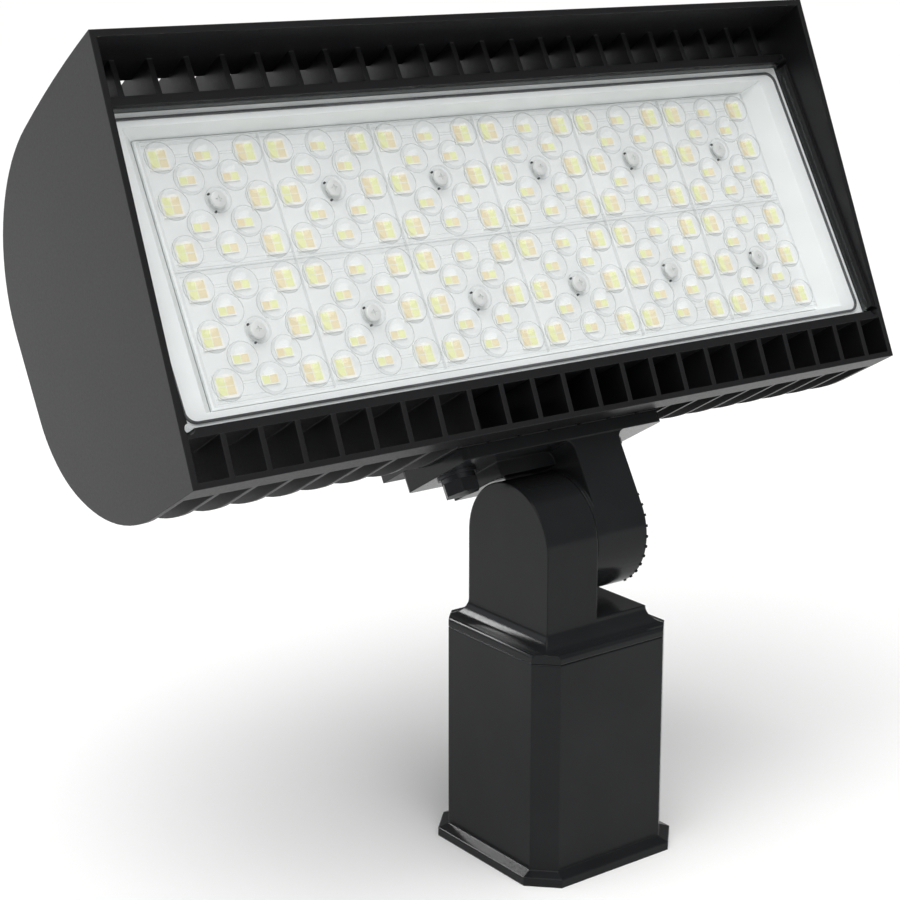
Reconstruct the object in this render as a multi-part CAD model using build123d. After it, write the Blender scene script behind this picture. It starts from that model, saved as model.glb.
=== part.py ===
from build123d import *
import os

# A floodlight head on a knuckle slipfitter that drops over a round pole tenon.
# Frame of the whole object: origin at the centre of the socket mouth in the foot,
# +X along the head's width, -Y towards the lit side, +Z up. Sizes in mm and degrees.
# The head is drawn upright in its own coordinates: u along the width, v up and
# n out of the light, all counted from the centre of the LED chips.

# LED field
module_u = 50.5
module_v = 51.0
modules_across = 6
modules_down = 2
lens_pitch = 9.19
package_outer = (8.6, 9.0)
package_inner = (7.2, 3.8)
package_height = 0.7
board_t = 1.6
lens_base_t = 2.6
lens_height = 5.6
lens_border = 1.6
lens_seam = 0.4
lens_pocket_depth = 1.1
lens_screw_well = 4.6
module_screw_bite = 3.8

# head casting
head_margin = 23.5
head_half_height = 81.0
body_depth = 88.4
rim_low = 11.0
rim_high = 31.5
crest_dip = 1.7
crest_r = 480.0
crest_turn = 8.0
belly_back_r = 52.0
belly_back_turn = 40.0
belly_low_r = 71.0
panel_t = 2.5
skin_t = 2.5
skin_back = 2.0
fin_t = 2.2
fins_each_side = 11
fin_end_gap = 13.4
bar_t = 3.5
bar_front = 13.0
lip_t = 4.0
deck_t = 5.0

# glass and tray
glass_t = 4.0
glass_recess = 1.2
glass_gap = 0.5
glass_corner_r = 4.0
corner_relief_r = 2.0
glass_margin_v = 8.5
glass_seal_t = 0.8
glass_seal_w = 0.9
glass_seal_inset = 2.0
tray_t = 1.5
tray_flange_u = 11.5
tray_flange_v = 6.0
tray_gap = 0.3

# driver bay behind the LED deck and its door
bay_half_u = 101.0
bay_low = 41.0
bay_high = 37.0
bay_depth = 74.0
bay_wall = 3.0
door_t = 3.0
door_seal_t = 1.0
door_seal_w = 2.9
door_gap = 1.5
door_corner_r = 2.0
door_post_r = 4.6
door_screw_inset = 4.0
door_screws_across = 4
door_screw_bite = 12.0
driver_u = 146.0
driver_v = 58.0
driver_n = 38.0
driver_offset_u = 18.0
driver_ear = 9.0
driver_ear_half = 9.0
driver_ear_t = 2.5
driver_screw_bite = 3.6
bay_part_gap = 4.0
terminal_size = (26.0, 16.0, 16.0)
terminal_v = 16.0
terminal_ways = 3
surge_size = (28.0, 22.0, 30.0)
surge_v = -13.0
deck_hole_r = 5.0
deck_grommet_r = 7.5
deck_grommet_collar_t = 1.6
deck_wire_r = 3.0

# small parts on the door: pressure vent, tone switch and its screw cap
vent_u = 78.0
vent_v = 18.0
vent_r = 5.8
vent_key = 8.0
vent_dome_r = 6.5
vent_step = 3.0
switch_u = 44.0
switch_v = 0.0
switch_half_u = 13.0
switch_half_v = 9.0
switch_depth = 9.0
switch_window_r = 8.0
switch_throw = 3.0
slider_half_u = 1.5
slider_half_v = 1.4
slider_gap = 0.4
slider_proud = 2.2
slider_foot = 3.6
cap_r = 12.0
cap_t = 4.0
cap_wall = 1.6
cap_slot_half = 1.1

# pad under the casting and the arm that bolts to it
pad_rise = 3.6
pad_t = 7.4
pad_back = 64.0
arm_half_u = 50.0
arm_bottom_drop = 5.0
arm_front = 5.0
arm_back = 50.5
arm_slope_end = 24.0
arm_corner_r = 3.0
arm_bolt_u = 40.0
arm_bolt_n = 31.0
arm_bolt_stagger = 3.0
arm_bolt_bite = 10.5
arm_boss_wall = 4.0
arm_boss_h = 6.0
arm_fillet_r = 4.0
arm_seal_r = 12.0
arm_seal_w = 3.0
arm_seal_t = 1.5

# knuckle
led_up = 117.4
led_forward = 30.3
tilt = 30.0
knuckle_r = 24.8
knuckle_half = 25.4
knuckle_gap = 0.3
neck_inset = 1.8
root_gap = 0.6
root_front_setback = 14.5
bolt_recess_r = 14.0
bolt_recess_depth = 8.0
chamber_r = 17.0
chamber_boss_r = 9.0
chamber_depth_ear = 14.0
chamber_depth_arm = 11.0
wire_r = 6.0
wire_u = 8.6
seal_groove_in = 19.2
seal_groove_w = 2.6
seal_groove_depth = 1.5
tick_step = 10.0
ticks_each_side = 6
tick_w = 1.0
tick_length = 4.0
tick_proud = 0.4

# fixed half of the knuckle, socket box and foot
pivot_rise = 39.3
box_half = 34.4
box_chamfer = 7.9
box_height = 90.7
box_top_t = 11.0
cap_bead = 3.4
cap_bead_r = 1.6
cap_rise = 10.5
foot_half = 38.6
foot_chamfer = 10.6
foot_height = 3.4
foot_slope = 1.6
tenon_r = 30.15
socket_clearance = 1.05
seam_chamfer = 0.6
box_screw_offset = 17.0
box_screw_bite = 8.0
grommet_wall = 1.5
grommet_collar = 3.6
grommet_collar_t = 1.8
set_screw_heights = (30.0, 64.0)
set_screw_travel = 8.0
set_boss_r = 9.0
set_boss_out = 5.0

# fasteners: nominal shank radius, half the key width, head height
m3 = (1.5, 2.7, 1.9)
m4 = (2.0, 3.9, 2.6)
m6 = (3.0, 5.0, 5.6)
m8 = (4.0, 6.5, 5.3)
m10 = (5.0, 8.5, 6.4)
m12 = (6.0, 9.0, 7.5)
thread_fit = 0.05
running_fit = 0.08
hole_fit = 0.4
washer_fit = 0.2
hole_end = 1.0
flat_washer_t = 1.2
spring_washer_t = 2.0

# sizes that follow from the ones above
head_width = modules_across * module_u + 2 * head_margin
fin_pitch = (head_width / 2 - panel_t - fin_end_gap) / (fins_each_side - 0.5)
glass_half_v = modules_down * module_v / 2 + glass_margin_v
pivot_height = box_height + pivot_rise
cap_top = box_height + cap_rise
glass_face = bar_front - glass_recess
glass_back = glass_face - glass_t
tray_face = glass_back - glass_seal_t
deck_face = -(package_height + board_t)
deck_back = deck_face - deck_t
pocket_u = head_width / 2 - lip_t
pocket_v = glass_half_v + glass_gap
glass_half_u = pocket_u - glass_gap
tray_mouth_u = pocket_u - tray_flange_u
tray_mouth_v = pocket_v - tray_flange_v
bar_out = pocket_v + bar_t
pad_face = -head_half_height + pad_rise
pad_top = pad_face + pad_t
arm_bottom = -head_half_height - arm_bottom_drop
root_low = -led_up + knuckle_r + root_gap
door_back = -(bay_depth + door_seal_t + door_t)
door_half_u = bay_half_u + bay_wall
door_low = -(bay_low + bay_wall)
door_high = bay_high + bay_wall
socket_r = tenon_r + socket_clearance
washer_stack = flat_washer_t + spring_washer_t
bolt_seat = knuckle_half - bolt_recess_depth


def at(v, n):
    # a point of the upright head in a sketch on the side plane
    return (-(n + led_forward), v + led_up)


def block(u0, u1, v0, v1, n0, n1):
    # a plain block between two limits on each of the head's axes
    centre = Pos((u0 + u1) / 2, -(n0 + n1) / 2 - led_forward, (v0 + v1) / 2 + led_up)
    return centre * Box(abs(u1 - u0), abs(n1 - n0), abs(v1 - v0))


def rod_n(r, u, v, n0, n1):
    # a round rod along n
    place = Pos(u, -(n0 + n1) / 2 - led_forward, v + led_up)
    return place * Rot(90, 0, 0) * Cylinder(r, abs(n1 - n0))


def rod_v(r, u, n, v0, v1):
    # a round rod along v
    place = Pos(u, -n - led_forward, (v0 + v1) / 2 + led_up)
    return place * Cylinder(r, abs(v1 - v0))


def rod_x(r, x0, x1):
    # a round rod on the pivot axis
    return Pos((x0 + x1) / 2, 0, 0) * Rot(0, 90, 0) * Cylinder(r, abs(x1 - x0))


def side_prism(face, u0, u1):
    # a sketch on the side plane pushed out between two places along the width
    return extrude(Pos(u0, 0, 0) * (Plane.YZ * face), amount=u1 - u0, dir=(1, 0, 0))


def side_polygon(points):
    return make_face(Polyline([at(v, n) for v, n in points], close=True))


def rounded_plate(half_u, half_v, r, n0, n1):
    # a plate with rounded corners that lies across the light
    sketch = Rot(90, 0, 0) * RectangleRounded(2 * half_u, 2 * half_v, r)
    return extrude(Pos(0, -n0 - led_forward, led_up) * sketch, amount=n1 - n0, dir=(0, -1, 0))


def hex_head(screw):
    return extrude(RegularPolygon(screw[1], 6, major_radius=False), amount=screw[2])


def bolt_up(screw, length):
    # a hexagon bolt with its head below z = 0 and its shank above
    shank = Pos(0, 0, length / 2) * Cylinder(screw[0], length)
    return Pos(0, 0, -screw[2]) * hex_head(screw) + shank


def pan_screw_up(screw, length):
    # a round headed screw with its head below z = 0 and its shank above
    head = Pos(0, 0, -screw[2] / 2) * Cylinder(screw[1], screw[2])
    return head + Pos(0, 0, length / 2) * Cylinder(screw[0], length)


def ring(r_in, r_out, t):
    # a washer that lies on z = 0
    return Pos(0, 0, t / 2) * (Cylinder(r_out, t) - Cylinder(r_in, t + 1))


def tilted(shape):
    # the upright head leans back about the pivot and stands on its height
    return Pos(0, 0, pivot_height) * Rot(-tilt, 0, 0) * shape


def on_base(shape):
    # pieces of the fixed half are drawn about the pivot too
    return Pos(0, 0, pivot_height) * shape


def side_outline():
    # the D shaped end of the head: slanted rim, bowed top, flat back, round belly
    h = head_half_height
    back_y = at(0, -body_depth)[0]
    start = Vector(1, 0, 0).rotate(Axis.Z, -crest_dip)
    crest = JernArc(at(h, rim_high), start, crest_r, -crest_turn)
    shoulder_r = (back_y - (crest @ 1).X) / (1 + (crest % 1).Y)
    shoulder = JernArc(crest @ 1, crest % 1, shoulder_r, crest_dip + crest_turn - 90)
    turn = JernArc((0, 0), (0, -1), belly_back_r, -belly_back_turn)
    low = JernArc(turn @ 1, turn % 1, belly_low_r, belly_back_turn - 90)
    place = Pos(back_y, at(-h, 0)[1] - (low @ 1).Y)
    turn = place * turn
    low = place * low
    back = Line(shoulder @ 1, turn @ 0)
    under = Line(low @ 1, at(-h, rim_low))
    rim = Line(at(-h, rim_low), at(h, rim_high))
    return make_face([crest, shoulder, back, turn, low, under, rim])


def fin_outline(outline, through_bay):
    # a fin keeps clear of the glass pocket, the visor and, in the middle, the bay
    h = head_half_height
    far = body_depth + 5
    fin = outline - side_polygon([(-bar_out, deck_back), (bar_out, deck_back),
                                  (bar_out, far), (-bar_out, far)])
    fin -= side_polygon([(bar_out - 1, bar_front), (h + 9, bar_front), (h + 9, far), (bar_out - 1, far)])
    if through_bay:
        fin -= side_polygon([(door_low, deck_back + 1), (door_high, deck_back + 1),
                             (door_high, -bay_depth), (door_low, -bay_depth)])
        fin -= side_polygon([(door_low - door_gap, -bay_depth), (door_high + door_gap, -bay_depth),
                             (door_high + door_gap, -far), (door_low - door_gap, -far)])
    return fin


def arm_top_line():
    # meeting line of pad and arm, from the back to the front edge
    return [(pad_face, -arm_slope_end), (-head_half_height, -arm_front)]


def fin_positions():
    spots = [(k + 0.5) * fin_pitch for k in range(fins_each_side)]
    return [-u for u in reversed(spots)] + spots


def door_screw_spots():
    reach = bay_half_u - door_screw_inset
    us = [reach * (2 * k / (door_screws_across - 1) - 1) for k in range(door_screws_across)]
    vs = (-bay_low + door_screw_inset, bay_high - door_screw_inset)
    return [(u, v) for u in us for v in vs]


def arm_bolt_spots():
    return [(-arm_bolt_u, -arm_bolt_n + arm_bolt_stagger), (arm_bolt_u, -arm_bolt_n - arm_bolt_stagger)]


def module_centres():
    us = [(i - (modules_across - 1) / 2) * module_u for i in range(modules_across)]
    vs = [(j - (modules_down - 1) / 2) * module_v for j in range(modules_down)]
    return [(u, v) for v in vs for u in us]


def driver_screw_spots():
    reach = driver_u / 2 + driver_ear / 2
    mid_v = (bay_high - bay_low) / 2
    return [(-driver_offset_u - reach, mid_v), (-driver_offset_u + reach, mid_v)]


def head_casting():
    # One die casting: two D shaped ends, a row of cooling fins that also divide the
    # two front grilles, the visor skin, the LED deck, the driver bay and the arm pad.
    outline = side_outline()
    half = head_width / 2
    inside = half - panel_t
    h = head_half_height
    pieces = [side_prism(outline, -half, -inside), side_prism(outline, inside, half)]
    plain_fin = fin_outline(outline, False)
    bay_fin = fin_outline(outline, True)
    for u in fin_positions():
        face = bay_fin if abs(u) < door_half_u + door_gap else plain_fin
        pieces.append(side_prism(face, u - fin_t / 2, u + fin_t / 2))
    under_skin = outline & side_polygon([(-h - 1, -skin_back), (-h + skin_t - 0.3, -skin_back),
                                         (-h + skin_t - 0.3, 60), (-h - 1, 60)])
    crest = outline & side_polygon([(h - 14, -skin_back), (h + 9, -skin_back), (h + 9, 60), (h - 14, 60)])
    crest -= Pos(0, -skin_t) * outline
    pieces += [side_prism(under_skin, -inside, inside), side_prism(crest, -inside, inside)]
    lower_bar = outline & side_polygon([(-bar_out, deck_back), (-pocket_v, deck_back),
                                        (-pocket_v, bar_front), (-bar_out, bar_front)])
    pieces.append(side_prism(lower_bar, -inside, inside))
    pieces.append(block(-inside, inside, pocket_v, bar_out, deck_back, bar_front))
    pieces.append(block(-inside, inside, -bar_out, bar_out, deck_back, deck_face))
    for side in (-1, 1):
        pieces.append(block(side * pocket_u, side * inside, -bar_out, bar_out, deck_back, bar_front))
    pieces.append(block(-door_half_u, door_half_u, door_low, door_high, -bay_depth, deck_back))
    pad = side_polygon([(pad_top, -pad_back), (pad_face, -pad_back)] + arm_top_line()
                       + [(pad_top, -arm_front)])
    pieces.append(side_prism(pad, -arm_half_u, arm_half_u))
    duct = wire_r + arm_boss_wall
    pieces.append(block(wire_u - duct, wire_u + duct, pad_top - 1, door_low + 1,
                        -led_forward - duct, -led_forward + duct))
    for u, n in arm_bolt_spots():
        pieces.append(rod_v(m8[0] + arm_boss_wall, u, n, pad_top - 1, pad_top + arm_boss_h))
    body = pieces[0] + pieces[1:]

    arm_room = side_polygon([(-h - 9, -arm_back - 0.5), (pad_face, -arm_back - 0.5)] + arm_top_line()
                            + [(-h - 9, -arm_front + 0.3)])
    body -= side_prism(arm_room, -arm_half_u - 0.5, arm_half_u + 0.5)
    body -= block(-bay_half_u, bay_half_u, -bay_low, bay_high, -bay_depth - 1, deck_back)
    posts = [rod_n(door_post_r, u, v, -bay_depth - door_seal_t, deck_back + 1) & bay_room()
             for u, v in door_screw_spots()]
    body = body + posts
    holes = [rod_n(m4[0] + thread_fit, u, v, -bay_depth - 2, -bay_depth + door_screw_bite + hole_end)
             for u, v in door_screw_spots()]
    holes += [rod_n(m4[0] + thread_fit, u, v, deck_back - 1, deck_back + driver_screw_bite + 0.4)
              for u, v in driver_screw_spots()]
    holes += [rod_n(m3[0] + thread_fit, u, v, deck_face + 1, deck_face - module_screw_bite - 0.4)
              for u, v in module_centres()]
    holes += [rod_v(m8[0] + thread_fit, u, n, pad_face - 4, pad_face + arm_bolt_bite + hole_end)
              for u, n in arm_bolt_spots()]
    holes.append(rod_v(wire_r, wire_u, -led_forward, pad_face - 1, door_low + 5))
    holes.append(rod_v(arm_seal_r, wire_u, -led_forward, pad_face - 1, pad_face + arm_seal_t))
    holes.append(rod_n(deck_hole_r, 0, 0, deck_back - 1, deck_face + 1))
    for su in (-1, 1):
        for sv in (-1, 1):
            holes.append(rod_n(corner_relief_r, su * pocket_u, sv * pocket_v, tray_face, bar_front + 1))
    return body - holes


def bay_room():
    # the posts stand inside the seal and sink into the walls of the bay below it
    e = door_seal_w + 0.3
    above = block(-door_half_u + e, door_half_u - e, door_low + e, door_high - e, -bay_depth - 2, -bay_depth)
    below = block(-door_half_u, door_half_u, door_low, door_high, -bay_depth, deck_back + 2)
    return above + below


def front_glass():
    plate = rounded_plate(glass_half_u, glass_half_v, glass_corner_r, glass_back, glass_face)
    rim = plate.faces().sort_by(Axis.Y)[0].edges()
    return chamfer(rim, 0.5)


def glass_seal():
    # silicone bead between glass and tray, seen through the glass as a thin dark line
    out_u = glass_half_u - glass_seal_inset
    out_v = glass_half_v - glass_seal_inset
    r = glass_corner_r + 1.0
    outer = rounded_plate(out_u, out_v, r, tray_face, glass_back)
    inner = rounded_plate(out_u - glass_seal_w, out_v - glass_seal_w, r - glass_seal_w,
                          tray_face - 1, glass_back + 1)
    return outer - inner


def tray_funnel(grow, n_low, n_high):
    # the sloped opening of the tray, wider at the glass than at the boards
    low_u = modules_across * module_u / 2 + 0.9 + grow
    low_v = modules_down * module_v / 2 + 0.9 + grow
    low = Pos(0, -n_low - led_forward, led_up) * Rot(90, 0, 0) * Rectangle(2 * low_u, 2 * low_v)
    high = Pos(0, -n_high - led_forward, led_up) * Rot(90, 0, 0) \
        * Rectangle(2 * (tray_mouth_u + grow), 2 * (tray_mouth_v + grow))
    return loft([low, high])


def reflector_tray():
    # white tray with a flat flange under the glass and sloped walls down to the boards
    out_u = pocket_u - tray_gap
    out_v = pocket_v - tray_gap
    tray = block(-out_u, out_u, -out_v, out_v, deck_face, tray_face)
    tray = tray - tray_funnel(0, deck_face - 0.01, tray_face + 0.01)
    hollow = block(-out_u + tray_t, out_u - tray_t, -out_v + tray_t, out_v - tray_t,
                   deck_face - 1, tray_face - tray_t)
    web = tray_funnel(tray_t, deck_face - 2, tray_face + 1)
    return tray - (hollow - web)


def led_boards():
    boards = []
    for j in range(modules_down):
        v = (j - (modules_down - 1) / 2) * module_v
        half_u = modules_across * module_u / 2
        half_v = module_v / 2 - lens_seam / 4
        board = block(-half_u, half_u, v - half_v, v + half_v, deck_face, -package_height)
        spots = [rod_n(m3[0] + 0.15, u, vv, deck_face - 1, 1) for u, vv in module_centres() if vv == v]
        boards.append(board - spots)
    return boards


def lens_grid():
    # twelve lenses in a chequer of five rows round the screw in the middle
    spots = []
    for row in range(-2, 3):
        for col in range(-2, 3):
            if (row + col) % 2 == 0 and (row, col) != (0, 0):
                spots.append((col * lens_pitch, row * lens_pitch))
    return spots


def led_packages():
    # four chips under each lens of the two outer columns, two under the others
    boxes = []
    for u, v in module_centres():
        for du, dv in lens_grid():
            size = package_outer if abs(du) > 1.5 * lens_pitch else package_inner
            boxes.append(block(u + du - size[0] / 2, u + du + size[0] / 2,
                               v + dv - size[1] / 2, v + dv + size[1] / 2, -package_height, 0))
    return boxes


def lens_plates():
    plates = []
    hu = (module_u - lens_seam) / 2
    hv = (module_v - lens_seam) / 2
    foot = -package_height
    for u, v in module_centres():
        plate = block(u - hu, u + hu, v - hv, v + hv, foot, foot + lens_base_t)
        edge = lens_border
        plate += block(u - hu + edge, u + hu - edge, v - hv + edge, v + hv - edge,
                       foot + lens_base_t - 1, foot + lens_height)
        pocket = block(u - hu + edge, u + hu - edge, v - hv + edge, v + hv - edge,
                       foot - 1, foot + lens_pocket_depth)
        plate -= pocket
        well = lens_screw_well
        plate -= block(u - well, u + well, v - well, v + well, foot + lens_base_t, foot + lens_height + 1)
        plate -= rod_n(m3[0] + 0.15, u, v, foot - 1, foot + lens_height)
        plates.append(plate)
    return plates


def module_screws():
    screws = []
    top = -package_height + lens_base_t
    length = top - deck_face + module_screw_bite
    for u, v in module_centres():
        place = Pos(u, -top - led_forward, v + led_up) * Rot(-90, 0, 0)
        screws.append(place * pan_screw_up(m3, length))
    return screws


def deck_grommet():
    wall = rod_n(deck_hole_r - thread_fit, 0, 0, deck_back, deck_face - 0.2)
    collar = rod_n(deck_grommet_r, 0, 0, deck_back - deck_grommet_collar_t, deck_back)
    return wall + collar - rod_n(deck_wire_r, 0, 0, deck_back - 3, deck_face + 1)


def driver_case():
    # potted LED driver in a folded metal case, screwed to the back of the deck
    mid_v = (bay_high - bay_low) / 2
    u0 = -driver_offset_u - driver_u / 2
    u1 = -driver_offset_u + driver_u / 2
    case = block(u0, u1, mid_v - driver_v / 2, mid_v + driver_v / 2, deck_back - driver_n, deck_back)
    long_edges = case.edges().filter_by(Axis.X).group_by(Axis.Y)[-1]
    case = chamfer(long_edges, 3.0)
    ears = block(u0 - driver_ear, u1 + driver_ear, mid_v - driver_ear_half, mid_v + driver_ear_half,
                 deck_back - driver_ear_t, deck_back)
    case = case + ears
    case -= [rod_n(m4[0] + washer_fit, u, v, deck_back - 2 * driver_ear_t, deck_back + 1)
             for u, v in driver_screw_spots()]
    return case - deck_grommet_room()


def deck_grommet_room():
    # the driver case is cut away where the board wires come through the deck
    side = deck_grommet_r + 1.5
    return block(-side, side, -side - 2, side + 0.5, deck_back - side, deck_back + 1)


def driver_screws():
    seat = deck_back - driver_ear_t
    screws = []
    for u, v in driver_screw_spots():
        place = Pos(u, -seat - led_forward, v + led_up) * Rot(90, 0, 0)
        screws.append(place * pan_screw_up(m4, driver_ear_t + driver_screw_bite))
    return screws


def terminal_block():
    # stepped block with one clamping chamber per wire, open on the lower side
    u0 = bay_part_start()
    su, sv, sn = terminal_size
    v0 = terminal_v - sv / 2
    base = block(u0, u0 + su, v0, v0 + sv, deck_back - sn, deck_back)
    base -= block(u0 - 1, u0 + su + 1, v0 - 1, v0 + 0.3 * sv, deck_back - sn - 1, deck_back - 0.6 * sn)
    way = su / terminal_ways
    for k in range(terminal_ways):
        u = u0 + way * (k + 0.5)
        base -= block(u - 0.3 * way, u + 0.3 * way, v0 - 1, v0 + 0.6 * sv, deck_back - 0.5 * sn, deck_back - 2)
    return base


def bay_part_start():
    # the small parts of the bay stand in one column beside the driver
    return driver_u / 2 - driver_offset_u + driver_ear + bay_part_gap


def surge_protector():
    u0 = bay_part_start()
    su, sv, sn = surge_size
    case = block(u0, u0 + su, surge_v - sv / 2, surge_v + sv / 2, deck_back - sn, deck_back)
    return fillet(case.edges().filter_by(Axis.Y), 3.0)


def bay_door():
    # flat cover of the driver bay, let in between the fins
    plate = block(-door_half_u, door_half_u, door_low, door_high, door_back, door_back + door_t)
    plate = fillet(plate.edges().filter_by(Axis.Y), door_corner_r)
    holes = [rod_n(m4[0] + 0.25, u, v, door_back - 1, -bay_depth) for u, v in door_screw_spots()]
    holes.append(rod_n(vent_r, vent_u, vent_v, door_back - 1, -bay_depth))
    holes.append(rod_n(switch_window_r, switch_u, switch_v, door_back - 1, -bay_depth))
    return plate - holes


def door_seal():
    # flat gasket on the bay's rim; the screw posts stop the door at its thickness
    w = door_seal_w
    frame = block(-door_half_u, door_half_u, door_low, door_high, -bay_depth - door_seal_t, -bay_depth)
    frame = fillet(frame.edges().filter_by(Axis.Y), door_corner_r)
    return frame - block(-door_half_u + w, door_half_u - w, door_low + w, door_high - w,
                         -bay_depth - door_seal_t - 1, -bay_depth + 1)


def door_screws():
    screws = []
    for u, v in door_screw_spots():
        place = Pos(u, -door_back - led_forward, v + led_up) * Rot(90, 0, 0)
        screws.append(place * pan_screw_up(m4, door_t + door_seal_t + door_screw_bite))
    return screws


def breather_vent():
    # threaded pressure vent with a six sided collar
    stub = rod_n(vent_r - thread_fit, vent_u, vent_v, door_back, -bay_depth + 6)
    place = Pos(vent_u, -door_back - led_forward, vent_v + led_up) * Rot(-90, 0, 0)
    collar = place * extrude(RegularPolygon(vent_key, 6, major_radius=False), amount=vent_step)
    dome = rod_n(vent_dome_r, vent_u, vent_v, door_back - 2 * vent_step, door_back - vent_step)
    return stub + collar + dome


def switch_body():
    # small slide switch behind the door: three light tones
    face = -bay_depth - door_seal_t
    body = block(switch_u - switch_half_u, switch_u + switch_half_u,
                 switch_v - switch_half_v, switch_v + switch_half_v, face, face + switch_depth)
    slot_u = switch_throw + slider_half_u + slider_gap
    slot_v = slider_half_v + slider_gap
    slot = block(switch_u - slot_u, switch_u + slot_u, switch_v - slot_v, switch_v + slot_v,
                 face - 1, face + slider_foot + slider_gap)
    return body - slot


def switch_slider():
    face = -bay_depth - door_seal_t
    u = switch_u - switch_throw
    return block(u - slider_half_u, u + slider_half_u, switch_v - slider_half_v, switch_v + slider_half_v,
                 face - slider_proud, face + slider_foot)


def switch_cap():
    # round screw cap that closes the switch window, with a slot for a coin
    cup = rod_n(cap_r, switch_u, switch_v, door_back - cap_t, door_back)
    neck = rod_n(switch_window_r - thread_fit, switch_u, switch_v, door_back, door_back + door_t - 0.5)
    cup = cup + neck - rod_n(switch_window_r - cap_wall, switch_u, switch_v,
                             door_back - cap_t / 2 + 0.5, door_back + door_t)
    return cup - block(switch_u - cap_r - 1, switch_u + cap_r + 1, switch_v - cap_slot_half,
                       switch_v + cap_slot_half, door_back - cap_t - 1, door_back - 0.7 * cap_t)


def neck_block(u0, u1, v0, v1, half_n):
    return block(u0, u1, v0, v1, -led_forward - half_n, -led_forward + half_n)


def corner_fillet(u, v, r, side, n0, n1):
    # concave rounding between a wall that drops from the flange and its underside
    bar = block(u, u + side * r, v - r, v, n0, n1)
    return bar - rod_n(r, u + side * r, v - r, n0 - 1, n1 + 1)


def knuckle_arm():
    # moving half of the knuckle: flange under the casting, neck and round disc
    low = -led_up
    flange = side_polygon([(arm_bottom, -arm_back), (pad_face, -arm_back)] + arm_top_line()
                          + [(arm_bottom, -arm_front)])
    flange = side_prism(flange, -arm_half_u, arm_half_u)
    mid_n = -(arm_front + arm_back) / 2
    plan = extrude(RectangleRounded(2 * arm_half_u, arm_back - arm_front, arm_corner_r), amount=30)
    flange = flange & (Pos(0, -mid_n - led_forward, arm_bottom + led_up - 5) * plan)
    neck_left = knuckle_gap / 2 + neck_inset
    neck = neck_block(neck_left, knuckle_half, low, arm_bottom, knuckle_r)
    root = block(-knuckle_half, knuckle_half, root_low, arm_bottom,
                 -led_forward - knuckle_r, -led_forward + knuckle_r - root_front_setback)
    disc = rod_x(knuckle_r, knuckle_gap / 2, knuckle_half)
    n0 = -led_forward - knuckle_r
    n1 = -led_forward + knuckle_r
    rounding = [corner_fillet(neck_left, arm_bottom, arm_fillet_r, -1, n1 - root_front_setback, n1),
                corner_fillet(knuckle_half, arm_bottom, arm_fillet_r, 1, -arm_back, n1)]
    body = flange + [neck, root, disc] + rounding
    for k in range(-ticks_each_side, ticks_each_side + 1):
        angle = k * tick_step - 120.0
        bar = Box(2 * tick_proud, tick_w, tick_length)
        bar = Pos(knuckle_half, 0, knuckle_r + tick_proud - tick_length / 2) * bar
        body += Rot(-angle, 0, 0) * bar
    body -= rod_x(m12[0] + running_fit, -1, knuckle_half + 1)
    body -= rod_x(bolt_recess_r, bolt_seat, knuckle_half + 2)
    chamber = rod_x(chamber_r, 0, chamber_depth_arm) - rod_x(chamber_boss_r, -1, chamber_depth_arm + 1)
    body -= chamber
    body -= rod_v(wire_r, wire_u, -led_forward, low + chamber_boss_r + 2, pad_face + 1)
    for u, n in arm_bolt_spots():
        body -= rod_v(m8[0] + hole_fit, u, n, arm_bottom - 1, pad_face + 1)
    return body


def arm_seal():
    # rubber ring round the wire hole, squeezed between arm and casting
    place = Pos(wire_u, 0, pad_face + led_up)
    return place * ring(arm_seal_r - arm_seal_w, arm_seal_r - thread_fit, arm_seal_t)


def arm_flat_washers():
    washer = ring(m8[0] + washer_fit, 2 * m8[0], flat_washer_t)
    z = arm_bottom + led_up - flat_washer_t
    return [Pos(u, -n - led_forward, z) * washer for u, n in arm_bolt_spots()]


def arm_spring_washers():
    washer = split_ring(m8[0] + washer_fit, m8[1] + 0.4)
    z = arm_bottom + led_up - washer_stack
    return [Pos(u, -n - led_forward, z) * washer for u, n in arm_bolt_spots()]


def split_ring(r_in, r_out):
    # spring washer, flattened, with its slanted gap
    body = ring(r_in, r_out, spring_washer_t)
    gap = Rot(25, 0, 0) * Box(r_out - r_in + 2, 0.9, 9)
    return body - Pos((r_in + r_out) / 2, 0, spring_washer_t / 2) * gap


def arm_bolts():
    seat = arm_bottom - washer_stack
    length = pad_face - seat + arm_bolt_bite
    return [Pos(u, -n - led_forward, seat + led_up) * bolt_up(m8, length) for u, n in arm_bolt_spots()]


def cap_profile(half_top):
    # outline of the shoulder: bead at the seam, hollow curve up to the knuckle
    z0 = box_height - pivot_height
    z1 = z0 + cap_bead
    z2 = cap_top - pivot_height
    b = cap_bead_r
    cove_r = z2 - z1
    cove_x = half_top + cove_r
    right = [Line((0, z0), (box_half, z0)), Line((box_half, z0), (box_half, z1 - b)),
             CenterArc((box_half - b, z1 - b), b, 0, 90), Line((box_half - b, z1), (cove_x, z1)),
             CenterArc((cove_x, z2), cove_r, 180, 90), Line((half_top, z2), (0, z2))]
    left = [edge.mirror(Plane.YZ) for edge in right]
    return make_face(right + left)


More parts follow.
